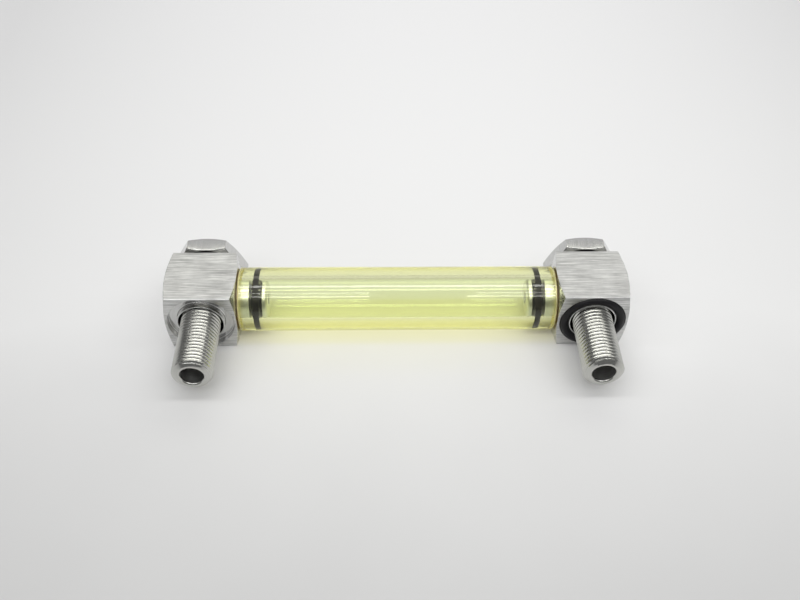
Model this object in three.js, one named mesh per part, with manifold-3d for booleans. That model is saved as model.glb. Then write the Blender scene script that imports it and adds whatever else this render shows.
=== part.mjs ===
// A tubular fluid sight glass: a clear tube between two square steel heads, each held to a tank
// wall by a hollow bolt. Liquid enters through the bolt, leaves it by cross holes inside the head,
// and rises in the tube. Units are millimetres, +Z up. The gauge lies on a flat of each head, with
// the tube along X and the bolts pointing along -Y, towards the tank wall.
import * as THREE from "three";
import { mergeVertices } from "three/addons/utils/BufferGeometryUtils.js";
import Module from "manifold-3d";

// ---------------------------------------------------------------- driving dimensions
const CENTRE_DISTANCE = 127; // between the two bolt axes

const BAR_SIDE = 22; // square bar that a head is cut from
const BAR_EDGE_BREAK = 0.25; // chamfer along the bar's long edges
const HEAD_LENGTH = 23; // along the tube, spigot not counted
const TURNED_ANGLE = THREE.MathUtils.degToRad(15); // chamfer turned on the bar's corners
const CROSS_BORE = 14.4; // clearance bore for the bolt
const PASSAGE = 3.8; // from the cross bore to the spigot's tip

const SEAL_SEAT_DIAMETER = 21.4; // wall of the groove and of the counterbore
const SEAL_SEAT_DEPTH = 2.1;
const LIP_DIAMETER = 15.4; // ring of metal between the bore and the face groove

const TUBE_OUTER = 21;
const TUBE_BORE = 12.7;
const TUBE_LENGTH = 103.2;
const TUBE_EDGE_BREAK = 0.3;

const SPIGOT_DIAMETER = 12.5;
const SPIGOT_LENGTH = 9.7;
const SPIGOT_CHAMFER = 0.6;
const GLAND_FLOOR = 7.4; // diameter at the bottom of the spigot's seal groove
const GLAND_WIDTH = 4.2;
const GLAND_START = 3.9; // from the head's end face

const HEX_ACROSS_FLATS = 22;
const HEX_HEIGHT = 5.9;
const HEX_CHAMFER_ANGLE = THREE.MathUtils.degToRad(28);
const HEX_FACE_DIAMETER = 21.2; // flat circle left on each side of the hexagon
const HEAD_STAND_OFF = 1; // loose gap between the hexagon and the head
const SHOULDER_DIAMETER = 14; // guides the bolt in the cross bore
const SHOULDER_END = 5.5; // distance of the shoulder from the tube's axis
const NECK_DIAMETER = 11.2; // relief that the cross holes open into
const BOLT_REACH = 22.2; // how far the bolt stands out of the head
const THREAD_DIAMETER = 12.8; // G 1/4, crests truncated
const THREAD_ROOT = 11.45;
const THREAD_PITCH = 1.337; // 19 threads per inch
const BOLT_BORE = 8;
const BOLT_BORE_END = 4; // blind end, past the tube's axis
const DRILL_POINT = 2.4; // length of the cone at the blind end
const CROSS_HOLE = 4.5;
const TIP_DIAMETER = 9.2; // flat rim left by the chamfer at the tip
const TIP_CHAMFER_ANGLE = THREE.MathUtils.degToRad(33); // from the tip's face

const WALL_SEAL_SECTION = 2.9;
const BOLT_SEAL_WIDTH = 3.3; // radial, between the shoulder and the counterbore
const BOLT_SEAL_HEIGHT = 2.95;
const TUBE_SEAL_WIDTH = 3.5; // along the tube
const SEAL_CLEARANCE = 0.05;
const SEAL_SQUARENESS = 2.6; // exponent of the section's superellipse, 2 for a plain round ring

// Steps round a circle.
const FINE = 48;
const MEDIUM = 32;
const COARSE = 20;
const THREAD_STEPS = 24;
const SECTION_STEPS = 8;

// ---------------------------------------------------------------- derived places
const HALF_BAR = BAR_SIDE / 2;
const END_FACE = HEAD_LENGTH / 2; // from the bolt's axis to the face that meets the tube
const SPIGOT_TIP = END_FACE + SPIGOT_LENGTH;
const SEAT_FLOOR = HALF_BAR - SEAL_SEAT_DEPTH;
const HEX_UNDERSIDE = HALF_BAR + HEAD_STAND_OFF;
const HEX_TOP = HEX_UNDERSIDE + HEX_HEIGHT;
const BOLT_TIP = -(HALF_BAR + BOLT_REACH);
const OVERCUT = 2; // how far a cutter runs past the face it opens

// ---------------------------------------------------------------- solids
const wasm = await Module();
wasm.setup();

// A three.js geometry as a manifold-3d solid.
function solid(geometry) {
  const bare = geometry.index ? geometry.toNonIndexed() : geometry.clone();
  bare.deleteAttribute("normal");
  bare.deleteAttribute("uv");
  const merged = mergeVertices(bare, 1e-4);
  return new wasm.Manifold(
    new wasm.Mesh({
      numProp: 3,
      vertProperties: new Float32Array(merged.attributes.position.array),
      triVerts: new Uint32Array(merged.index.array),
    }),
  );
}

// A manifold-3d solid as a three.js geometry.
function geometryOf(body) {
  const mesh = body.getMesh();
  const geometry = new THREE.BufferGeometry();
  geometry.setAttribute("position", new THREE.BufferAttribute(mesh.vertProperties, 3));
  geometry.setIndex(new THREE.BufferAttribute(mesh.triVerts, 1));
  const faceted = geometry.toNonIndexed();
  faceted.computeVertexNormals();
  return faceted;
}

// A closed solid of revolution about Y from [radius, y] pairs listed with y rising on the outside.
function turned(profile, steps = FINE) {
  const points = profile.map(([radius, y]) => new THREE.Vector2(radius, y));
  return new THREE.LatheGeometry(points, steps);
}

// Lays a shape turned about Y along +X.
const alongX = (geometry) => geometry.rotateZ(-Math.PI / 2);

const rod = (diameter, from, to, steps = FINE) =>
  turned([[0, from], [diameter / 2, from], [diameter / 2, to], [0, to]], steps);

const ring = (inner, outer, from, to, steps = FINE) =>
  turned(
    [
      [inner / 2, from],
      [outer / 2, from],
      [outer / 2, to],
      [inner / 2, to],
      [inner / 2, from],
    ],
    steps,
  );

// A seal ring about Y. Its section is a superellipse, because a squeezed ring flattens.
function sealRing(middleRadius, width, height, y) {
  const profile = [];
  for (let i = 0; i <= SECTION_STEPS; i++) {
    const angle = -Math.PI / 2 + (i / SECTION_STEPS) * 2 * Math.PI;
    const across = Math.cos(angle);
    const along = Math.sin(angle);
    const sum = Math.abs(across) ** SEAL_SQUARENESS + Math.abs(along) ** SEAL_SQUARENESS;
    const round = sum ** (-1 / SEAL_SQUARENESS);
    profile.push([
      middleRadius + (width / 2) * round * across,
      y + (height / 2) * round * along,
    ]);
  }
  profile[SECTION_STEPS] = profile[0];
  return turned(profile, MEDIUM);
}

// ---------------------------------------------------------------- sight tube
function sightTube() {
  const half = TUBE_LENGTH / 2;
  const outer = TUBE_OUTER / 2;
  const inner = TUBE_BORE / 2;
  const edge = TUBE_EDGE_BREAK;
  return alongX(
    turned([
      [inner, -half],
      [outer - edge, -half],
      [outer, -half + edge],
      [outer, half - edge],
      [outer - edge, half],
      [inner, half],
      [inner, -half],
    ]),
  );
}

// ---------------------------------------------------------------- head
// The square bar along X, with its long edges broken.
function squareBar() {
  const near = HALF_BAR - BAR_EDGE_BREAK;
  const corners = [
    [near, -HALF_BAR],
    [HALF_BAR, -near],
    [HALF_BAR, near],
    [near, HALF_BAR],
    [-near, HALF_BAR],
    [-HALF_BAR, near],
    [-HALF_BAR, -near],
    [-near, -HALF_BAR],
  ];
  const outline = new THREE.Shape(corners.map(([x, y]) => new THREE.Vector2(x, y)));
  const bar = new THREE.ExtrudeGeometry(outline, { depth: HEAD_LENGTH, bevelEnabled: false });
  return bar.translate(0, 0, -HEAD_LENGTH / 2).rotateY(Math.PI / 2);
}

// What the lathe leaves of the bar: flat ends inside the square, sloping back over its corners.
function turnedEnds() {
  const beyond = BAR_SIDE;
  const slope = (beyond - HALF_BAR) * Math.tan(TURNED_ANGLE);
  return alongX(
    turned([
      [0, -END_FACE],
      [HALF_BAR, -END_FACE],
      [beyond, -END_FACE + slope],
      [beyond, END_FACE - slope],
      [HALF_BAR, END_FACE],
      [0, END_FACE],
    ]),
  );
}

// The spigot that plugs into the tube, with its seal groove. It starts inside the bar.
function spigot() {
  const radius = SPIGOT_DIAMETER / 2;
  const groove = END_FACE + GLAND_START;
  return alongX(
    turned(
      [
        [0, END_FACE - 1],
        [radius, END_FACE - 1],
        [radius, groove],
        [GLAND_FLOOR / 2, groove],
        [GLAND_FLOOR / 2, groove + GLAND_WIDTH],
        [radius, groove + GLAND_WIDTH],
        [radius, SPIGOT_TIP - SPIGOT_CHAMFER],
        [radius - SPIGOT_CHAMFER, SPIGOT_TIP],
        [0, SPIGOT_TIP],
      ],
      MEDIUM,
    ),
  );
}

function head() {
  const cutters = [
    rod(CROSS_BORE, -HALF_BAR - OVERCUT, HALF_BAR + OVERCUT),
    ring(LIP_DIAMETER, SEAL_SEAT_DIAMETER, -HALF_BAR - OVERCUT, -SEAT_FLOOR),
    rod(SEAL_SEAT_DIAMETER, SEAT_FLOOR, HALF_BAR + OVERCUT),
    alongX(rod(PASSAGE, 0, SPIGOT_TIP + OVERCUT, COARSE)),
  ];
  let body = solid(squareBar()).intersect(solid(turnedEnds())).add(solid(spigot()));
  for (const cutter of cutters) body = body.subtract(solid(cutter));
  return geometryOf(body);
}

// ---------------------------------------------------------------- hollow bolt
// A helical thread about Y, from one height to another, with V-shaped turns. Each row of points
// is a crest or a root; a row ends where the row two further on begins.
function threadedRod(from, to) {
  const turns = Math.ceil((to - from) / THREAD_PITCH) + 1;
  const rows = 2 * turns + 1;
  const start = from - THREAD_PITCH;
  const vertices = [];
  const triangles = [];
  for (let row = 0; row < rows; row++) {
    const radius = (row % 2 ? THREAD_ROOT : THREAD_DIAMETER) / 2;
    for (let step = 0; step < THREAD_STEPS; step++) {
      const angle = (step / THREAD_STEPS) * 2 * Math.PI;
      const y = start + (row / 2 + step / THREAD_STEPS) * THREAD_PITCH;
      vertices.push(radius * Math.cos(angle), y, -radius * Math.sin(angle));
    }
  }
  const at = (row, step) =>
    step < THREAD_STEPS ? row * THREAD_STEPS + step : (row + 2) * THREAD_STEPS;
  for (let row = 0; row < rows - 3; row++) {
    for (let step = 0; step < THREAD_STEPS; step++) {
      const [a, b] = [at(row, step), at(row, step + 1)];
      const [c, d] = [at(row + 1, step + 1), at(row + 1, step)];
      triangles.push(a, b, c, a, c, d);
    }
  }
  // Each end is a fan from the axis round one turn of the edge row and back up its step.
  const edge = (row) => {
    const loop = [];
    for (let step = 0; step <= THREAD_STEPS; step++) loop.push(at(row, step));
    loop.push(at(row + 1, 0));
    return loop;
  };
  const fan = (row, y, flip) => {
    const centre = vertices.push(0, y, 0) / 3 - 1;
    const loop = edge(row);
    loop.forEach((point, i) => {
      const next = loop[(i + 1) % loop.length];
      triangles.push(...(flip ? [centre, next, point] : [centre, point, next]));
    });
  };
  fan(0, start + THREAD_PITCH / 2, true);
  fan(rows - 3, start + (rows / 2 - 1) * THREAD_PITCH, false);
  const geometry = new THREE.BufferGeometry();
  geometry.setAttribute("position", new THREE.Float32BufferAttribute(vertices, 3));
  geometry.setIndex(triangles);
  return geometry;
}

// The hexagon, flats up and down, with its corners turned back on both sides.
function hexagon() {
  const cornerRadius = HEX_ACROSS_FLATS / Math.sqrt(3);
  const middle = (HEX_UNDERSIDE + HEX_TOP) / 2;
  const prism = new THREE.CylinderGeometry(cornerRadius, cornerRadius, HEX_HEIGHT, 6)
    .rotateY(Math.PI / 6)
    .translate(0, middle, 0);
  const face = HEX_FACE_DIAMETER / 2;
  const beyond = cornerRadius + 1;
  const slope = (beyond - face) * Math.tan(HEX_CHAMFER_ANGLE);
  const envelope = turned([
    [0, HEX_UNDERSIDE],
    [face, HEX_UNDERSIDE],
    [beyond, HEX_UNDERSIDE + slope],
    [beyond, HEX_TOP - slope],
    [face, HEX_TOP],
    [0, HEX_TOP],
  ]);
  return solid(prism).intersect(solid(envelope));
}

// Shoulder and relieved neck, down to where the thread begins.
function shank() {
  return turned(
    [
      [0, -SHOULDER_END - 1],
      [NECK_DIAMETER / 2, -SHOULDER_END - 1],
      [NECK_DIAMETER / 2, SHOULDER_END],
      [SHOULDER_DIAMETER / 2, SHOULDER_END + 1],
      [SHOULDER_DIAMETER / 2, HEX_UNDERSIDE + 1],
      [0, HEX_UNDERSIDE + 1],
    ],
    MEDIUM,
  );
}

// The outline that the thread is trimmed to, chamfered at the tip.
function threadBlank() {
  const radius = THREAD_DIAMETER / 2 + 1;
  const rim = TIP_DIAMETER / 2;
  const slope = (radius - rim) * Math.tan(TIP_CHAMFER_ANGLE);
  return turned(
    [
      [0, BOLT_TIP],
      [rim, BOLT_TIP],
      [radius, BOLT_TIP + slope],
      [radius, -SHOULDER_END - 1],
      [THREAD_ROOT / 2, -SHOULDER_END],
      [0, -SHOULDER_END],
    ],
    MEDIUM,
  );
}

function boltBore() {
  return turned(
    [
      [0, BOLT_TIP - OVERCUT],
      [BOLT_BORE / 2, BOLT_TIP - OVERCUT],
      [BOLT_BORE / 2, BOLT_BORE_END],
      [0, BOLT_BORE_END + DRILL_POINT],
    ],
    MEDIUM,
  );
}

function hollowBolt() {
  const thread = solid(threadedRod(BOLT_TIP, -SHOULDER_END)).intersect(solid(threadBlank()));
  const crossHole = () => rod(CROSS_HOLE, -SHOULDER_DIAMETER, SHOULDER_DIAMETER, COARSE);
  const body = hexagon()
    .add(solid(shank()))
    .add(thread)
    .subtract(solid(boltBore()))
    .subtract(solid(crossHole().rotateZ(Math.PI / 2)))
    .subtract(solid(crossHole().rotateX(Math.PI / 2)));
  return geometryOf(body);
}

// ---------------------------------------------------------------- seals
// Ring in the head's front groove, proud of the face so that the tank wall squeezes it.
function wallSeal() {
  const middle = (LIP_DIAMETER + SEAL_SEAT_DIAMETER) / 4;
  const y = -SEAT_FLOOR - SEAL_CLEARANCE - WALL_SEAL_SECTION / 2;
  return sealRing(middle, WALL_SEAL_SECTION, WALL_SEAL_SECTION, y);
}

// Ring round the bolt's shoulder, in the counterbore under the hexagon.
function boltSeal() {
  const middle = SHOULDER_DIAMETER / 2 + 2 * SEAL_CLEARANCE + BOLT_SEAL_WIDTH / 2;
  const y = SEAT_FLOOR + SEAL_CLEARANCE + BOLT_SEAL_HEIGHT / 2;
  return sealRing(middle, BOLT_SEAL_WIDTH, BOLT_SEAL_HEIGHT, y);
}

// Ring in the spigot's groove, squeezed against the tube's bore.
function tubeSeal() {
  const inner = GLAND_FLOOR / 2 + SEAL_CLEARANCE;
  const outer = TUBE_BORE / 2 - SEAL_CLEARANCE;
  const place = END_FACE + GLAND_START + GLAND_WIDTH / 2;
  return alongX(sealRing((inner + outer) / 2, outer - inner, TUBE_SEAL_WIDTH, place));
}

// ---------------------------------------------------------------- materials
const metal = (color, roughness) =>
  new THREE.MeshStandardMaterial({ color, roughness, metalness: 1 });

const brushedSteel = metal(0xc2c3c0, 0.38);
const turnedSteel = metal(0xcfcfca, 0.18);
const blackRubber = new THREE.MeshStandardMaterial({
  color: 0x17171a,
  roughness: 0.55,
  metalness: 0,
});
const tintedPlastic = new THREE.MeshStandardMaterial({
  color: 0xdfe69a,
  roughness: 0.05,
  metalness: 0,
  transparent: true,
  opacity: 0.4,
});

// ---------------------------------------------------------------- assembly
function piece(name, geometry, material) {
  const mesh = new THREE.Mesh(geometry, material);
  mesh.name = name;
  return mesh;
}

// One end of the gauge in its own frame: bolt along Y, spigot towards +X.
function endAssembly(side, withWallSeal) {
  const end = new THREE.Group();
  end.add(
    piece(side + "_head", head(), brushedSteel),
    piece(side + "_tube_seal", tubeSeal(), blackRubber),
    piece(side + "_hollow_bolt", hollowBolt(), turnedSteel),
    piece(side + "_bolt_seal", boltSeal(), blackRubber),
  );
  if (withWallSeal) end.add(piece(side + "_wall_seal", wallSeal(), blackRubber));
  return end;
}

const left = endAssembly("left", false);
left.position.x = -CENTRE_DISTANCE / 2;

const right = endAssembly("right", true);
right.position.x = CENTRE_DISTANCE / 2;
right.rotation.y = Math.PI;

// The origin is the middle of the footprint, on the surface that the gauge lies on.
const gauge = new THREE.Group();
gauge.add(piece("sight_tube", sightTube(), tintedPlastic), left, right);
gauge.position.set(0, -(BOLT_TIP + HEX_TOP) / 2, HALF_BAR);

const part = new THREE.Group();
part.add(gauge);

export default part;
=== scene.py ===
"""The looks of a tubular sight glass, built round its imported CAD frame.

A clear tube lies between two square steel heads. A hollow bolt crosses each head, and black seal
rings close the joints. The builders of the pieces work in millimetres, and the scene is in metres.
Each piece at an end is made in that end's own frame: the bolt lies along Y with its hexagon at +Y,
and the head's spigot points to +X.
"""
import math
from collections import namedtuple

import bmesh
import bpy
import numpy as np
from mathutils import Matrix, Vector


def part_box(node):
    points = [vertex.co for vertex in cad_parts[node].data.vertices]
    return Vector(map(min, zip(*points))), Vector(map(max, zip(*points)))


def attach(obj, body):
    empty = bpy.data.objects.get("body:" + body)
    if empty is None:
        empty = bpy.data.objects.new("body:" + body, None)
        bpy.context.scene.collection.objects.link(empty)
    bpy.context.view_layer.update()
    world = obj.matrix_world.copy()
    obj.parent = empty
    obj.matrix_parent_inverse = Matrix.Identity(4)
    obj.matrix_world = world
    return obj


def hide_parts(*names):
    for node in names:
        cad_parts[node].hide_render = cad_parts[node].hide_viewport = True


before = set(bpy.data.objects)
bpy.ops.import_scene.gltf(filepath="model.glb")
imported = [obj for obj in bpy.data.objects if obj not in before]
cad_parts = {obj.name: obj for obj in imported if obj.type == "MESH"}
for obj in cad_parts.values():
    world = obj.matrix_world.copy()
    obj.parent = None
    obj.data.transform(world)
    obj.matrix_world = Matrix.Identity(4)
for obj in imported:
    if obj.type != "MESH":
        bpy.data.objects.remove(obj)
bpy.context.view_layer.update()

MM = 0.001

# ------------------------------------------------------------------ sizes read from the frame
tube_low, tube_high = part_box("sight_tube")
head_low, head_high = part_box("left_head")
bolt_low, bolt_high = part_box("left_hollow_bolt")

AXIS = (tube_low + tube_high) / 2  # middle of the tube, on its axis
LEFT_BOLT_X = (bolt_low.x + bolt_high.x) / 2
CENTRE_DISTANCE = 2 * (AXIS.x - LEFT_BOLT_X)

TUBE_LENGTH = (tube_high.x - tube_low.x) / MM
TUBE_RADIUS = (tube_high.z - tube_low.z) / 2 / MM
HALF_BAR = (head_high.z - head_low.z) / 2 / MM
OUTER_END = (LEFT_BOLT_X - head_low.x) / MM
SPIGOT_TIP = (head_high.x - LEFT_BOLT_X) / MM
BOLT_TIP = (bolt_low.y - AXIS.y) / MM
HEX_TOP = (bolt_high.y - AXIS.y) / MM
HEX_HALF_FLATS = (bolt_high.z - bolt_low.z) / 2 / MM

# ------------------------------------------------------------------ sizes of the details, mm
TUBE_BORE_RADIUS = 6.35
TUBE_CHAMFER = 0.4

BAR_EDGE_BREAK = 0.25
TURNED_SLOPE = math.tan(math.radians(15))
END_RADIUS = HALF_BAR - 0.02  # flat circle left on each end of the bar
CROSS_BORE_RADIUS = 7.2
SEAT_RADIUS = 10.7
SEAT_DEPTH = 2.1
LIP_RADIUS = 7.7
PASSAGE_RADIUS = 1.9
MOUTH_BREAK = 0.12  # small chamfer where the cross bore meets a face
SEAT_BREAK = 0.05  # the same round a seal's seat
LIP_BREAK = 0.06  # and on the lip inside the wall seal's groove

SPIGOT_RADIUS = 6.25
SPIGOT_CHAMFER = 0.6
GLAND_RADIUS = 3.7
GLAND_START = 3.9
GLAND_WIDTH = 4.2

HEX_UNDERSIDE = HALF_BAR + 1
HEX_FACE_RADIUS = 10.6
HEX_CHAMFER_SLOPE = math.tan(math.radians(28))
SHOULDER_RADIUS = 7
SHOULDER_END = 5.5
NECK_RADIUS = 5.6
THREAD_END = -5.5
THREAD_RADIUS = 6.4
THREAD_ROOT = 5.72
THREAD_PITCH = 1.337
THREAD_FLANK = math.tan(math.radians(27.5))  # Whitworth form
THREAD_CREST_SHARE = 0.64  # of the length that the flanks leave for crest and root
THREAD_ROUND = 0.035
THREAD_RUN_OUT = 1.2  # how fast the crests die away at the neck
BOLT_BORE_RADIUS = 3.6
BOLT_BORE_END = 4
BORE_MOUTH = 0.45  # chamfer at the mouth, well rounded
DRILL_POINT = 2.4
CROSS_HOLE_RADIUS = 2.25
TIP_RADIUS = 4.7
TIP_SLOPE = math.tan(math.radians(33))

WALL_SEAL_SECTION = 2.9
BOLT_SEAL_WIDTH = 3.3
BOLT_SEAL_HEIGHT = 2.95
SEAL_CLEARANCE = 0.05
TUBE_SEAL_WIDTH = 3.4
TUBE_SEAL_FLAT = 1.6  # band squeezed flat against the tube
TUBE_SEAL_WETTING = 0.02  # how far that band sits in the tube's wall, so that no air shows between

ROUND_STEPS = 144  # a multiple of 6, so that points fall on a hexagon's corners
SECTION_STEPS = 28
FLAT_STEPS = 24  # along one side of the square bar
EASE_STEPS = 3
SHARP_ANGLE = math.radians(50)

# ------------------------------------------------------------------ surfaces made of rings
# A row is a ring of points, how far the edge there is eased, and the finish of the band after it.
Row = namedtuple("Row", "points ease finish")

ROUND = np.linspace(0, 2 * np.pi, ROUND_STEPS + 1)


def square_angles():
    """Angles round a square bar that has points on its broken edges, and runs of them between."""
    near = HALF_BAR - BAR_EDGE_BREAK
    side = np.linspace(-near, near, FLAT_STEPS + 1)
    quarter = np.append(np.arctan2(side, HALF_BAR), np.pi / 4)
    turns = [quarter + turn * np.pi / 2 for turn in range(4)]
    return np.append(np.concatenate(turns), quarter[0] + 2 * np.pi)


SQUARE = square_angles()


def bar_reach(angles):
    """Distance from the bar's axis to its surface."""
    across = np.abs(np.cos(angles))
    along = np.abs(np.sin(angles))
    flat = HALF_BAR / np.maximum(across, along)
    edge = (2 * HALF_BAR - BAR_EDGE_BREAK) / (across + along)
    return np.minimum(flat, edge)


def hex_reach(angles):
    """Distance from the hexagon's axis to its sides, with flats up and down."""
    sector = np.pi / 3
    return HEX_HALF_FLATS / np.cos((angles + sector / 2) % sector - sector / 2)


def about_y(radius, y, angles=ROUND):
    """A ring about Y. Radius and height may each be a number or one value for every angle."""
    points = [radius * np.sin(angles), y + 0 * angles, radius * np.cos(angles)]
    return np.stack(points, axis=1)


def about_x(radius, x, angles=ROUND):
    points = [x + 0 * angles, radius * np.sin(angles), radius * np.cos(angles)]
    return np.stack(points, axis=1)


def towards(point, other, distance):
    """Moves each point towards its neighbour in the next ring, at most to near halfway."""
    step = other - point
    length = np.maximum(np.linalg.norm(step, axis=1, keepdims=True), 1e-9)
    return point + step * np.minimum(distance / length, 0.45)


def eased(rows, looped):
    """Turns each row that has an ease into the few rings of a small round.

    The round keeps the finish of the band before it.
    """
    result = []
    for i, row in enumerate(rows):
        inner = looped or 0 < i < len(rows) - 1
        if not row.ease or not inner:
            result.append((row.points, row.finish))
            continue
        before = rows[i - 1].points
        after = rows[(i + 1) % len(rows)].points
        start = towards(row.points, before, row.ease)
        end = towards(row.points, after, row.ease)
        for step in range(EASE_STEPS + 1):
            t = step / EASE_STEPS
            curve = (1 - t) ** 2 * start + 2 * t * (1 - t) * row.points + t ** 2 * end
            result.append((curve, row.finish if step == EASE_STEPS else rows[i - 1].finish))
    return result


def surface(name, rows, finishes, looped=False):
    """A closed mesh object from rows of rings. Finishes are the materials that rows refer to."""
    rings = eased(rows, looped)
    count = len(rings[0][0])
    vertices = np.concatenate([points for points, _ in rings]) * MM
    faces = []
    slots = []
    for i in range(len(rings) if looped else len(rings) - 1):
        here = i * count
        there = (i + 1) % len(rings) * count
        for j in range(count - 1):
            faces.append((here + j, here + j + 1, there + j + 1, there + j))
            slots.append(rings[i][1])
    mesh = bpy.data.meshes.new(name)
    mesh.from_pydata(vertices.tolist(), [], faces)
    mesh.polygons.foreach_set("material_index", slots)
    for finish in finishes:
        mesh.materials.append(finish)
    weld(mesh)
    piece = bpy.data.objects.new(name, mesh)
    bpy.context.scene.collection.objects.link(piece)
    return piece


def weld(mesh):
    """Closes the seam and the poles, and turns every face outwards."""
    work = bmesh.new()
    work.from_mesh(mesh)
    bmesh.ops.remove_doubles(work, verts=work.verts, dist=2e-7)
    bmesh.ops.dissolve_degenerate(work, edges=work.edges, dist=1e-8)
    bmesh.ops.recalc_face_normals(work, faces=work.faces)
    work.to_mesh(mesh)
    work.free()


def carved(body, *cutters):
    """Cuts each cutter out of the body."""
    for cutter in cutters:
        cut = body.modifiers.new("cut", "BOOLEAN")
        cut.operation = "DIFFERENCE"
        cut.solver = "EXACT"
        cut.object = cutter
    evaluated = body.evaluated_get(bpy.context.evaluated_depsgraph_get())
    mesh = bpy.data.meshes.new_from_object(evaluated)
    body.modifiers.clear()
    body.data = mesh
    for cutter in cutters:
        bpy.data.objects.remove(cutter)
    weld(mesh)
    return body


def smooth(piece):
    """Soft shading that keeps flat faces flat and hard edges hard."""
    piece.data.shade_smooth()
    piece.data.set_sharp_from_angle(angle=SHARP_ANGLE)
    weights = piece.modifiers.new("flat faces stay flat", "WEIGHTED_NORMAL")
    weights.keep_sharp = True
    weights.weight = 60
    return piece


# ------------------------------------------------------------------ materials
class Graph:
    """Short ways to build the nodes of a material or of the world."""

    def __init__(self, holder, output="OutputMaterial"):
        holder.use_nodes = True
        self.holder = holder
        self.tree = holder.node_tree
        self.tree.nodes.clear()
        self.output = self.add(output)

    def add(self, kind, inputs=None, **settings):
        node = self.tree.nodes.new("ShaderNode" + kind)
        for key, value in settings.items():
            setattr(node, key, value)
        for socket, value in (inputs or {}).items():
            self.put(node.inputs[socket], value)
        return node

    def put(self, socket, value):
        if isinstance(value, bpy.types.NodeSocket):
            self.tree.links.new(value, socket)
        else:
            socket.default_value = value

    def math(self, operation, first, second=0.0):
        node = self.add("Math", {0: first, 1: second}, operation=operation)
        return node.outputs[0]

    def vector(self, operation, first, second=(0, 0, 0)):
        node = self.add("VectorMath", operation=operation)
        self.put(node.inputs[0], first)
        self.put(node.inputs[1], second)
        return node.outputs["Value" if operation in ("LENGTH", "DOT_PRODUCT") else "Vector"]

    def place(self, scale=(1, 1, 1)):
        """The piece's own coordinates, stretched."""
        own = self.add("TexCoord").outputs["Object"]
        return self.vector("MULTIPLY", own, scale)

    def noise(self, where, scale=1.0, detail=2.0, roughness=0.5):
        inputs = {"Vector": where, "Scale": scale, "Detail": detail, "Roughness": roughness}
        return self.add("TexNoise", inputs).outputs["Fac"]

    def spread(self, value, low, high, start=0.3, end=0.7):
        """Maps a noise value onto a range, clamped."""
        inputs = {"Value": value, "From Min": start, "From Max": end, "To Min": low, "To Max": high}
        return self.add("MapRange", inputs).outputs["Result"]

    def shades(self, value, *stops):
        """A colour ramp from (position, grey or colour) stops."""
        node = self.add("ValToRGB", {"Fac": value})
        ramp = node.color_ramp
        for i, (position, colour) in enumerate(stops):
            element = ramp.elements[i] if i < 2 else ramp.elements.new(position)
            element.position = position
            element.color = (*colour, 1)
        return node.outputs["Color"]

    def bump(self, height, distance, strength=1.0):
        inputs = {"Height": height, "Distance": distance, "Strength": strength}
        return self.add("Bump", inputs).outputs["Normal"]

    def finish(self, shader):
        self.put(self.output.inputs["Surface"], shader)
        return self.holder


def material_graph(name):
    return Graph(bpy.data.materials.new(name))


AXES = {"X": (1, 0, 0), "Y": (0, 1, 0), "Z": (0, 0, 1)}


def across_grain(graph, grain):
    """The tangent that a highlight stretches along: in the surface, square to the grain."""
    turned = graph.add(
        "VectorTransform", {0: grain}, vector_type="VECTOR", convert_from="OBJECT", convert_to="WORLD"
    )
    normal = graph.add("NewGeometry").outputs["Normal"]
    return graph.vector("CROSS_PRODUCT", normal, turned.outputs[0])


def metal(graph, colour, roughness, normal, tangent, anisotropy):
    inputs = {
        "Base Color": colour,
        "Metallic": 1.0,
        "Roughness": roughness,
        "Normal": normal,
        "Tangent": tangent,
        "Anisotropic": anisotropy,
    }
    return graph.finish(graph.add("BsdfPrincipled", inputs).outputs[0])


STEEL_BLUE = 0.985


def grey(level, blue=1.0):
    """A grey of a given level, warm where its share of blue is under 1."""
    return (level, level, level * blue)


def brushed_steel(name, axis, tones=(0.35, 0.83), rough=(0.28, 0.46)):
    """Steel bar with a straight grain along one axis."""
    graph = material_graph(name)
    along = Vector(AXES[axis])
    across = Vector((1, 1, 1)) - along
    hairs = graph.noise(graph.place(along * 150 + across * 6500), detail=3, roughness=0.65)
    streaks = graph.noise(graph.place(along * 90 + across * 4000), detail=3, roughness=0.6)
    clouds = graph.noise(graph.place((1, 1, 1)), scale=160, detail=3)
    grain = graph.math("ADD", graph.math("MULTIPLY", hairs, 0.5), graph.math("MULTIPLY", streaks, 0.5))
    mixed = graph.math("ADD", graph.math("MULTIPLY", grain, 0.85), graph.math("MULTIPLY", clouds, 0.15))
    colour = graph.shades(mixed, (0.4, grey(tones[0], STEEL_BLUE)), (0.6, grey(tones[1], STEEL_BLUE)))
    roughness = graph.spread(grain, rough[1], rough[0])
    normal = graph.bump(grain, 0.00006, 0.55)
    return metal(graph, colour, roughness, normal, across_grain(graph, AXES[axis]), 0.6)


def turned_steel(name, axis, rough, groove, stretch=0.45, tones=(0.54, 0.66), blue=STEEL_BLUE):
    """Steel with the fine rings that a lathe leaves round one axis."""
    graph = material_graph(name)
    along = Vector(AXES[axis])
    flat = graph.place(Vector((1, 1, 1)) - along)
    radius = graph.vector("LENGTH", flat)
    travel = graph.vector("DOT_PRODUCT", graph.place(), along)
    rings = graph.add("CombineXYZ", {"X": radius, "Y": travel, "Z": 0.0}).outputs[0]
    marks = graph.noise(graph.vector("MULTIPLY", rings, (5200, 5200, 1)), detail=3, roughness=0.6)
    smears = graph.noise(graph.place((1, 1, 1)), scale=420, detail=4, roughness=0.6)
    shade = graph.math("MULTIPLY", marks, graph.spread(smears, 0.9, 1.1))
    colour = graph.shades(shade, (0.3, grey(tones[0], blue)), (0.62, grey(tones[1], blue)))
    roughness = graph.spread(smears, rough[0], rough[1])
    normal = graph.bump(marks, 0.00003, groove)
    circle = graph.vector("CROSS_PRODUCT", tuple(along), flat)
    turned = graph.vector("NORMALIZE", circle)
    return metal(graph, colour, roughness, normal, across_grain(graph, turned), stretch)


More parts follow.
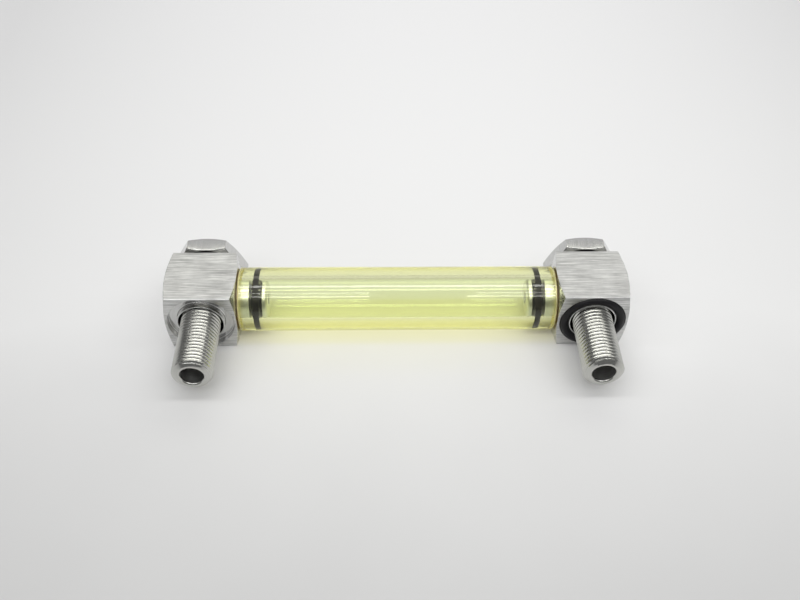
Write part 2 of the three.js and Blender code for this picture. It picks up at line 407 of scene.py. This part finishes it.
def black_rubber():
    graph = material_graph("seal_rubber")
    own = graph.place()
    skin = graph.noise(own, scale=2600, detail=3, roughness=0.6)
    dust = graph.noise(own, scale=500, detail=5, roughness=0.7)
    colour = graph.shades(dust, (0.45, (0.006, 0.0055, 0.007)), (0.78, (0.016, 0.015, 0.017)))
    inputs = {
        "Base Color": colour,
        "Roughness": graph.spread(dust, 0.38, 0.55),
        "Normal": graph.bump(skin, 0.00002, 0.6),
        "Specular IOR Level": 0.28,
    }
    return graph.finish(graph.add("BsdfPrincipled", inputs).outputs[0])


TINT = (0.975, 0.93, 0.0)
TINT_DENSITY = 48.0


def clear_plastic(name, roughness, haze, colour=(0.925, 0.97, 0.9), clarity=1.0):
    """Tinted clear polycarbonate. Light falls straight through it where it would cast a shadow."""
    graph = material_graph(name)
    wipes = graph.noise(graph.place((25, 700, 700)), detail=3)
    inputs = {
        "Base Color": (*colour, 1),
        "Roughness": graph.spread(wipes, roughness, roughness + haze),
        "IOR": 1.58,
        "Transmission Weight": clarity,
        "Normal": graph.bump(wipes, 0.00002, 0.12),
    }
    glass = graph.add("BsdfPrincipled", inputs).outputs[0]
    clear = graph.add("BsdfTransparent", {"Color": (1, 1, 1, 1)}).outputs[0]
    path = graph.add("LightPath").outputs
    straight = graph.math("MAXIMUM", path["Is Shadow Ray"], path["Is Diffuse Ray"])
    mixed = graph.add("MixShader", {0: straight, 1: glass, 2: clear}).outputs[0]
    tint = graph.add("VolumeAbsorption", {"Color": (*TINT, 1), "Density": TINT_DENSITY})
    graph.put(graph.output.inputs["Volume"], tint.outputs[0])
    return graph.finish(mixed)


FLOOR_PAINTED_LIGHT_X = 0.02


def pale_floor_painted_shade():
    """Matt white paper with painted shade: greyer in front and towards the sides, around a painted
    brighter pool in the middle.
    """
    graph = material_graph("pale_floor_painted_shade")
    place = graph.add("SeparateXYZ", {0: graph.add("TexCoord").outputs["Object"]}).outputs
    soft = graph.noise(graph.place((1, 1, 1)), scale=9, detail=3)
    depth = graph.math("ADD", place["Y"], graph.spread(soft, -0.01, 0.01))
    # Painted shade: the grey falls off from back to front, standing in for light that thins towards the
    # camera.
    colour = graph.shades(
        graph.spread(depth, 0, 1, -0.12, 0.24),
        (0.05, grey(0.575)),
        (0.22, grey(0.69)),
        (0.36, grey(0.8)),
        (0.6, grey(0.82, 1.0037)),
        (1.0, grey(0.825, 1.0121)),
    )
    # Painted shade towards both sides, and a painted pool of light in the middle where the tube's
    # shadow falls.
    off_painted_light_centre = graph.math("SUBTRACT", place["X"], FLOOR_PAINTED_LIGHT_X)
    painted_side_shade = graph.spread(graph.math("MULTIPLY", off_painted_light_centre, off_painted_light_centre), 1.01, 0.82, 0, 0.04)
    shaded_by_paint = graph.add("VectorMath", {0: colour, "Scale": painted_side_shade}, operation="SCALE")
    inputs = {"Base Color": shaded_by_paint.outputs[0], "Roughness": 0.6, "Specular IOR Level": 0.25}
    return graph.finish(graph.add("BsdfPrincipled", inputs).outputs[0])


FLATS = brushed_steel("head_flats", "X")
ENDS = turned_steel("head_ends", "X", rough=(0.2, 0.32), groove=0.3)
SPIGOT = turned_steel("spigot", "X", rough=(0.3, 0.4), groove=0.15, stretch=0.0, tones=(0.68, 0.8))
SEATS = turned_steel("seal_seats", "Y", rough=(0.12, 0.17), groove=0.03, tones=(0.58, 0.68))
BOLT = turned_steel(
    "bolt_turned", "Y", rough=(0.13, 0.17), groove=0.02, stretch=0.4, tones=(0.48, 0.58), blue=0.95
)
HEXAGON = brushed_steel("hexagon_flats", "Y", tones=(0.56, 0.66), rough=(0.09, 0.13))
BORE = turned_steel("bore", "Y", rough=(0.3, 0.4), groove=0.1, tones=(0.6, 0.72))
RUBBER = black_rubber()
TUBE = clear_plastic("clear_tube", 0.0, 0.03)
# The cut ends' pale ochre is partly the plastic's own tint and partly painted light, which lifts the
# shaded gap where the tube meets a head.
TUBE_CUT = clear_plastic("tube_cut_ends", 0.3, 0.2, colour=(0.97, 0.9, 0.45), clarity=0.35)


# ------------------------------------------------------------------ the tube
SIDE, CUT = range(2)


def sight_tube():
    half = TUBE_LENGTH / 2
    rows = [
        Row(about_x(TUBE_BORE_RADIUS, -half), 0.12, CUT),
        Row(about_x(TUBE_RADIUS - TUBE_CHAMFER, -half), 0.1, CUT),
        Row(about_x(TUBE_RADIUS, TUBE_CHAMFER - half), 0.1, SIDE),
        Row(about_x(TUBE_RADIUS, half - TUBE_CHAMFER), 0.1, CUT),
        Row(about_x(TUBE_RADIUS - TUBE_CHAMFER, half), 0.1, CUT),
        Row(about_x(TUBE_BORE_RADIUS, half), 0.12, SIDE),
    ]
    return surface("clear_sight_tube", rows, [TUBE, TUBE_CUT], looped=True)


# ------------------------------------------------------------------ a head
HEAD_FINISHES = [FLATS, ENDS, SPIGOT, SEATS]
FLAT, END, STUB, SEAT = range(4)


def head_blank(name):
    """The turned square bar with its spigot, before the bores are cut."""
    reach = bar_reach(SQUARE)
    slope = (reach - HALF_BAR) * TURNED_SLOPE
    gland = OUTER_END + GLAND_START
    gland_end = gland + GLAND_WIDTH

    def ring(radius, x):
        return about_x(radius, x, SQUARE)

    rows = [
        Row(ring(0, -OUTER_END), 0, END),
        Row(ring(END_RADIUS, -OUTER_END), 0.08, END),
        Row(ring(reach, slope - OUTER_END), 0.1, FLAT),
        Row(ring(reach, OUTER_END - slope), 0.1, END),
        Row(ring(END_RADIUS, OUTER_END), 0.08, END),
        Row(ring(SPIGOT_RADIUS, OUTER_END), 0.2, STUB),
        Row(ring(SPIGOT_RADIUS, gland), 0.15, STUB),
        Row(ring(GLAND_RADIUS, gland), 0.25, STUB),
        Row(ring(GLAND_RADIUS, gland_end), 0.25, STUB),
        Row(ring(SPIGOT_RADIUS, gland_end), 0.15, STUB),
        Row(ring(SPIGOT_RADIUS, SPIGOT_TIP - SPIGOT_CHAMFER), 0.1, STUB),
        Row(ring(SPIGOT_RADIUS - SPIGOT_CHAMFER, SPIGOT_TIP), 0.1, STUB),
        Row(ring(PASSAGE_RADIUS, SPIGOT_TIP), 0.2, STUB),
        Row(ring(PASSAGE_RADIUS, 0), 0, STUB),
        Row(ring(0, 0), 0, STUB),
    ]
    return surface(name, rows, HEAD_FINISHES)


def bore_cutter():
    """The bolt's clearance bore, and the counterbore for the seal under the hexagon."""
    face = HALF_BAR
    floor = face - SEAT_DEPTH
    beyond = face + 3
    mouth = MOUTH_BREAK
    rows = [
        Row(about_y(0, -beyond), 0, SEAT),
        Row(about_y(CROSS_BORE_RADIUS + mouth, -beyond), 0, SEAT),
        Row(about_y(CROSS_BORE_RADIUS + mouth, -face), 0.03, SEAT),
        Row(about_y(CROSS_BORE_RADIUS, mouth - face), 0.05, SEAT),
        Row(about_y(CROSS_BORE_RADIUS, floor - mouth), 0.05, SEAT),
        Row(about_y(CROSS_BORE_RADIUS + mouth, floor), 0.05, SEAT),
        Row(about_y(SEAT_RADIUS, floor), 0.25, SEAT),
        Row(about_y(SEAT_RADIUS, face - SEAT_BREAK), 0.02, SEAT),
        Row(about_y(SEAT_RADIUS + SEAT_BREAK, face), 0, SEAT),
        Row(about_y(SEAT_RADIUS + SEAT_BREAK, beyond), 0, SEAT),
        Row(about_y(0, beyond), 0, SEAT),
    ]
    return surface("bore_cutter", rows, HEAD_FINISHES)


def groove_cutter():
    """The ring groove for the wall seal."""
    face = -HALF_BAR
    floor = face + SEAT_DEPTH
    rows = [
        Row(about_y(LIP_RADIUS - LIP_BREAK, face - 1), 0, SEAT),
        Row(about_y(LIP_RADIUS - LIP_BREAK, face), 0, SEAT),
        Row(about_y(LIP_RADIUS, face + LIP_BREAK), 0.02, SEAT),
        Row(about_y(LIP_RADIUS, floor), 0.3, SEAT),
        Row(about_y(SEAT_RADIUS, floor), 0.3, SEAT),
        Row(about_y(SEAT_RADIUS, face + SEAT_BREAK), 0.02, SEAT),
        Row(about_y(SEAT_RADIUS + SEAT_BREAK, face), 0, SEAT),
        Row(about_y(SEAT_RADIUS + SEAT_BREAK, face - 1), 0, SEAT),
    ]
    return surface("groove_cutter", rows, HEAD_FINISHES, looped=True)


def head(name):
    return carved(head_blank(name), bore_cutter(), groove_cutter())


# ------------------------------------------------------------------ a hollow bolt
BOLT_FINISHES = [BOLT, HEXAGON, BORE]
TURNED, HEX, HOLE = range(3)


def thread_turn():
    """One pitch of the thread as (distance along Y, radius), from one crest's middle to the next."""
    depth = THREAD_RADIUS - THREAD_ROOT
    flank = depth * THREAD_FLANK
    lands = THREAD_PITCH - 2 * flank  # crest and root together
    crest = lands * THREAD_CREST_SHARE
    root = lands - crest
    corners = [
        (crest / 2, THREAD_RADIUS),
        (crest / 2 + flank, THREAD_ROOT),
        (crest / 2 + flank + root, THREAD_ROOT),
        (THREAD_PITCH - crest / 2, THREAD_RADIUS),
    ]
    outline = []
    for i, corner in enumerate(corners):
        before = corners[i - 1] if i else (corners[-1][0] - THREAD_PITCH, THREAD_RADIUS)
        after = corners[i + 1] if i < 3 else (corners[0][0] + THREAD_PITCH, THREAD_RADIUS)
        corner, before, after = (np.array(point) for point in (corner, before, after))
        start = corner + (before - corner) * THREAD_ROUND / np.linalg.norm(before - corner)
        end = corner + (after - corner) * THREAD_ROUND / np.linalg.norm(after - corner)
        outline += [tuple(start), tuple((start + 2 * corner + end) / 4), tuple(end)]
    return outline


def thread_rows():
    """Rings that climb one pitch a turn, held between the tip and the neck."""

    def allowed(y):
        chamfer = TIP_RADIUS + (y - BOLT_TIP) / TIP_SLOPE
        run_out = NECK_RADIUS + THREAD_RUN_OUT * (THREAD_END - y)
        return np.minimum(chamfer, run_out)

    rows = []
    outline = thread_turn()
    turns = math.ceil((THREAD_END - BOLT_TIP) / THREAD_PITCH) + 1
    for turn in range(-1, turns):
        for offset, radius in outline:
            y = BOLT_TIP + turn * THREAD_PITCH + offset + THREAD_PITCH * ROUND / (2 * np.pi)
            y = np.clip(y, BOLT_TIP, THREAD_END)
            reach = np.minimum(radius, allowed(y))
            rows.append(Row(about_y(reach, y), 0, TURNED))
    return rows


def bolt_blank(name):
    reach = hex_reach(ROUND)
    slope = (reach - HEX_FACE_RADIUS) * HEX_CHAMFER_SLOPE
    tip_rows = [
        Row(about_y(0, BOLT_BORE_END + DRILL_POINT), 0, HOLE),
        Row(about_y(BOLT_BORE_RADIUS, BOLT_BORE_END), 0.1, HOLE),
        Row(about_y(BOLT_BORE_RADIUS, BOLT_TIP + 2 * BORE_MOUTH), 0, TURNED),
        Row(about_y(BOLT_BORE_RADIUS, BOLT_TIP + BORE_MOUTH), 0.25, TURNED),
        Row(about_y(BOLT_BORE_RADIUS + BORE_MOUTH, BOLT_TIP), 0.25, TURNED),
        Row(about_y(TIP_RADIUS, BOLT_TIP), 0, TURNED),
    ]
    head_rows = [
        Row(about_y(NECK_RADIUS, THREAD_END), 0, TURNED),
        Row(about_y(NECK_RADIUS, SHOULDER_END), 0.3, TURNED),
        Row(about_y(SHOULDER_RADIUS, SHOULDER_END + 1), 0.15, TURNED),
        Row(about_y(SHOULDER_RADIUS, HEX_UNDERSIDE), 0.3, TURNED),
        Row(about_y(HEX_FACE_RADIUS, HEX_UNDERSIDE), 0.15, TURNED),
        Row(about_y(reach, HEX_UNDERSIDE + slope), 0.4, HEX),
        Row(about_y(reach, HEX_TOP - slope), 0.2, TURNED),
        Row(about_y(HEX_FACE_RADIUS, HEX_TOP), 0.15, TURNED),
        Row(about_y(0, HEX_TOP), 0, TURNED),
    ]
    return surface(name, tip_rows + thread_rows() + head_rows, BOLT_FINISHES)


def cross_hole(along):
    """A drill through the neck, along X or Z."""
    reach = SHOULDER_RADIUS + 1
    rows = [
        Row(about_x(0, -reach), 0, HOLE),
        Row(about_x(CROSS_HOLE_RADIUS, -reach), 0, HOLE),
        Row(about_x(CROSS_HOLE_RADIUS, reach), 0, HOLE),
        Row(about_x(0, reach), 0, HOLE),
    ]
    drill = surface("drill", rows, BOLT_FINISHES)
    if along == "Z":
        drill.data.transform(Matrix.Rotation(math.pi / 2, 4, "Y"))
    return drill


def hollow_bolt(name):
    return carved(bolt_blank(name), cross_hole("X"), cross_hole("Z"))


# ------------------------------------------------------------------ seal rings
def section(width, height, flat):
    """Points round a squeezed ring's section: two flats joined by half ellipses."""
    angles = np.linspace(0, 2 * np.pi, SECTION_STEPS, endpoint=False) + np.pi / SECTION_STEPS
    side = (width - flat) / 2
    across = np.sin(angles) * side + np.sign(np.sin(angles)) * flat / 2
    return across, np.cos(angles) * height / 2


def seal_ring(name, ring, middle, place, section_points):
    """A rubber ring. The section's points are along the axis and away from it."""
    along, away = section_points
    rows = [Row(ring(middle + r, place + a), 0, 0) for a, r in zip(along, away)]
    return surface(name, rows, [RUBBER], looped=True)


def wall_seal(name):
    middle = (LIP_RADIUS + SEAT_RADIUS) / 2
    place = SEAT_DEPTH - HALF_BAR - SEAL_CLEARANCE - WALL_SEAL_SECTION / 2
    points = section(WALL_SEAL_SECTION, WALL_SEAL_SECTION, 0)
    return seal_ring(name, about_y, middle, place, points)


def bolt_seal(name):
    middle = SHOULDER_RADIUS + 2 * SEAL_CLEARANCE + BOLT_SEAL_WIDTH / 2
    place = HALF_BAR - SEAT_DEPTH + SEAL_CLEARANCE + BOLT_SEAL_HEIGHT / 2
    points = section(BOLT_SEAL_HEIGHT, BOLT_SEAL_WIDTH, 0.5)
    return seal_ring(name, about_y, middle, place, points)


def tube_seal(name):
    inner = GLAND_RADIUS + SEAL_CLEARANCE
    outer = TUBE_BORE_RADIUS + TUBE_SEAL_WETTING
    place = OUTER_END + GLAND_START + GLAND_WIDTH / 2
    points = section(TUBE_SEAL_WIDTH, outer - inner, TUBE_SEAL_FLAT)
    return seal_ring(name, about_x, (inner + outer) / 2, place, points)


# ------------------------------------------------------------------ putting it together
def end_frame(side):
    """Where an end's own frame lies in the row frame."""
    reach = CENTRE_DISTANCE / 2
    if side == "left":
        return Matrix.Translation(AXIS - Vector((reach, 0, 0)))
    return Matrix.Translation(AXIS + Vector((reach, 0, 0))) @ Matrix.Rotation(math.pi, 4, "Y")


def fit(piece, place, node, body):
    """Puts a finished piece in place of a CAD node."""
    piece.matrix_world = place
    smooth(piece)
    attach(piece, body)
    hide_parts(node)


def assemble():
    fit(sight_tube(), Matrix.Translation(AXIS), "sight_tube", "tube")
    for side in ("left", "right"):
        place = end_frame(side)
        made = [
            (head, "head", "end", "head_steel"),
            (hollow_bolt, "hollow_bolt", "bolt", "bolt_steel"),
            (tube_seal, "tube_seal", "spigot_ring", "seal_rubber"),
            (bolt_seal, "bolt_seal", "bolt_ring", "seal_rubber"),
        ]
        if side == "right":
            made.append((wall_seal, "wall_seal", "end", "seal_rubber"))
        for build, node, body, slot in made:
            piece = build(f"{side}_{node}_shown")
            fit(piece, place, f"{side}_{node}", f"{side}_{body}")


assemble()


# ------------------------------------------------------------------ floor, light and camera
def plane(name, width, depth, material):
    mesh = bpy.data.meshes.new(name)
    corners = [(-width, -depth, 0), (width, -depth, 0), (width, depth, 0), (-width, depth, 0)]
    mesh.from_pydata(corners, [], [(0, 1, 2, 3)])
    mesh.materials.append(material)
    piece = bpy.data.objects.new(name, mesh)
    bpy.context.scene.collection.objects.link(piece)
    return piece


plane("floor", 4, 4, pale_floor_painted_shade())


def lamp(name, centre, size, radiance, tint):
    """A rectangular lamp with its long side along X, tipped to face the line of the tube."""
    data = bpy.data.lights.new(name, "AREA")
    data.shape = "RECTANGLE"
    data.size, data.size_y = size
    data.energy = radiance * math.pi * size[0] * size[1]
    data.color = tint
    item = bpy.data.objects.new(name, data)
    item.location = centre
    item.rotation_euler = (math.atan2(AXIS.y - centre[1], centre[2] - AXIS.z), 0, 0)
    bpy.context.scene.collection.objects.link(item)
    return item


LAMP_HEIGHT = 1.0
BRIGHT = 6.2
SOFT = 1.25
ROOM = 0.62
WHITE = (1, 1, 1)
WARM = (1.0, 0.99, 0.87)
GAP = (-0.02, 0.14)  # the camera keeps the lamps in front of it from shining between these


def strip(name, radiance, x_from, x_to, y_from, y_to, tint=WHITE):
    """A lamp between two values of X and two of Y, with Y measured from the tube's axis."""
    centre = ((x_from + x_to) / 2, AXIS.y + (y_from + y_to) / 2, LAMP_HEIGHT)
    lamp(name, centre, (x_to - x_from, y_to - y_from), radiance, tint)


strip("back_lamp", SOFT, -0.78, 0.4, 0.72, 0.97, WARM)
strip("back_narrow_lamp", SOFT * 1.3, 0.54, 0.74, 0.66, 0.97, WARM)
strip("back_right_lamp", SOFT * 0.8, 0.74, 1.9, 0.6, 0.97, WARM)
strip("overhead_lamp", BRIGHT, -1.2, 1.2, -0.06, 0.06)
for row, (y_from, y_to) in enumerate([(-0.48, -0.43), (-0.78, -0.71)]):
    strip(f"front_left_lamp_{row}", BRIGHT, -1.0, GAP[0], y_from, y_to)
    strip(f"front_right_lamp_{row}", BRIGHT, GAP[1], 1.0, y_from, y_to)


ROOM_BRIGHT_SIDE = Vector((0, 0.6, 0.8))
ROOM_OPENING = Vector((-0.68, 0.63, 0.37)).normalized()


def surroundings():
    """A pale room, darker low in front and where it opens on the left."""
    world = bpy.data.worlds.new("room")
    bpy.context.scene.world = world
    graph = Graph(world, "OutputWorld")
    direction = graph.add("TexCoord").outputs["Generated"]
    above = graph.vector("DOT_PRODUCT", direction, ROOM_BRIGHT_SIDE)
    beside = graph.vector("DOT_PRODUCT", direction, ROOM_OPENING)
    walls = graph.spread(above, 0.32, 1.0, 0.02, 0.3)
    opening = graph.spread(beside, 1.0, 0.12, 0.86, 0.93)
    level = graph.math("MULTIPLY", walls, opening)
    strength = graph.math("MULTIPLY", level, ROOM)
    graph.finish(graph.add("Background", {"Color": (1, 1, 1, 1), "Strength": strength}).outputs[0])


surroundings()

CAMERA_PLACE = Vector((-6.293, -215.943, 220.888)) * MM  # from the middle of the tube
CAMERA_YAW = -0.0337
CAMERA_PITCH = 0.7982
CAMERA_ROLL = -0.0195
CAMERA_LENS = 41.82


def camera():
    data = bpy.data.cameras.new("camera")
    data.sensor_width = 36
    data.lens = CAMERA_LENS
    data.clip_start = 0.01
    item = bpy.data.objects.new("camera", data)
    bpy.context.scene.collection.objects.link(item)
    turn = (
        Matrix.Rotation(CAMERA_YAW, 4, "Z")
        @ Matrix.Rotation(-CAMERA_PITCH, 4, "X")
        @ Matrix.Rotation(CAMERA_ROLL, 4, "Y")
    )
    upright = Matrix.Rotation(math.pi / 2, 4, "X")  # a camera looks along its own -Z
    item.matrix_world = Matrix.Translation(AXIS + CAMERA_PLACE) @ turn @ upright
    bpy.context.scene.camera = item


camera()

scene = bpy.context.scene
scene.view_settings.view_transform = "Standard"
scene.view_settings.look = "None"
scene.cycles.blur_glossy = 0.1
scene.cycles.caustics_refractive = False
scene.cycles.transmission_bounces = 16
scene.cycles.max_bounces = 20
scene.cycles.glossy_bounces = 8
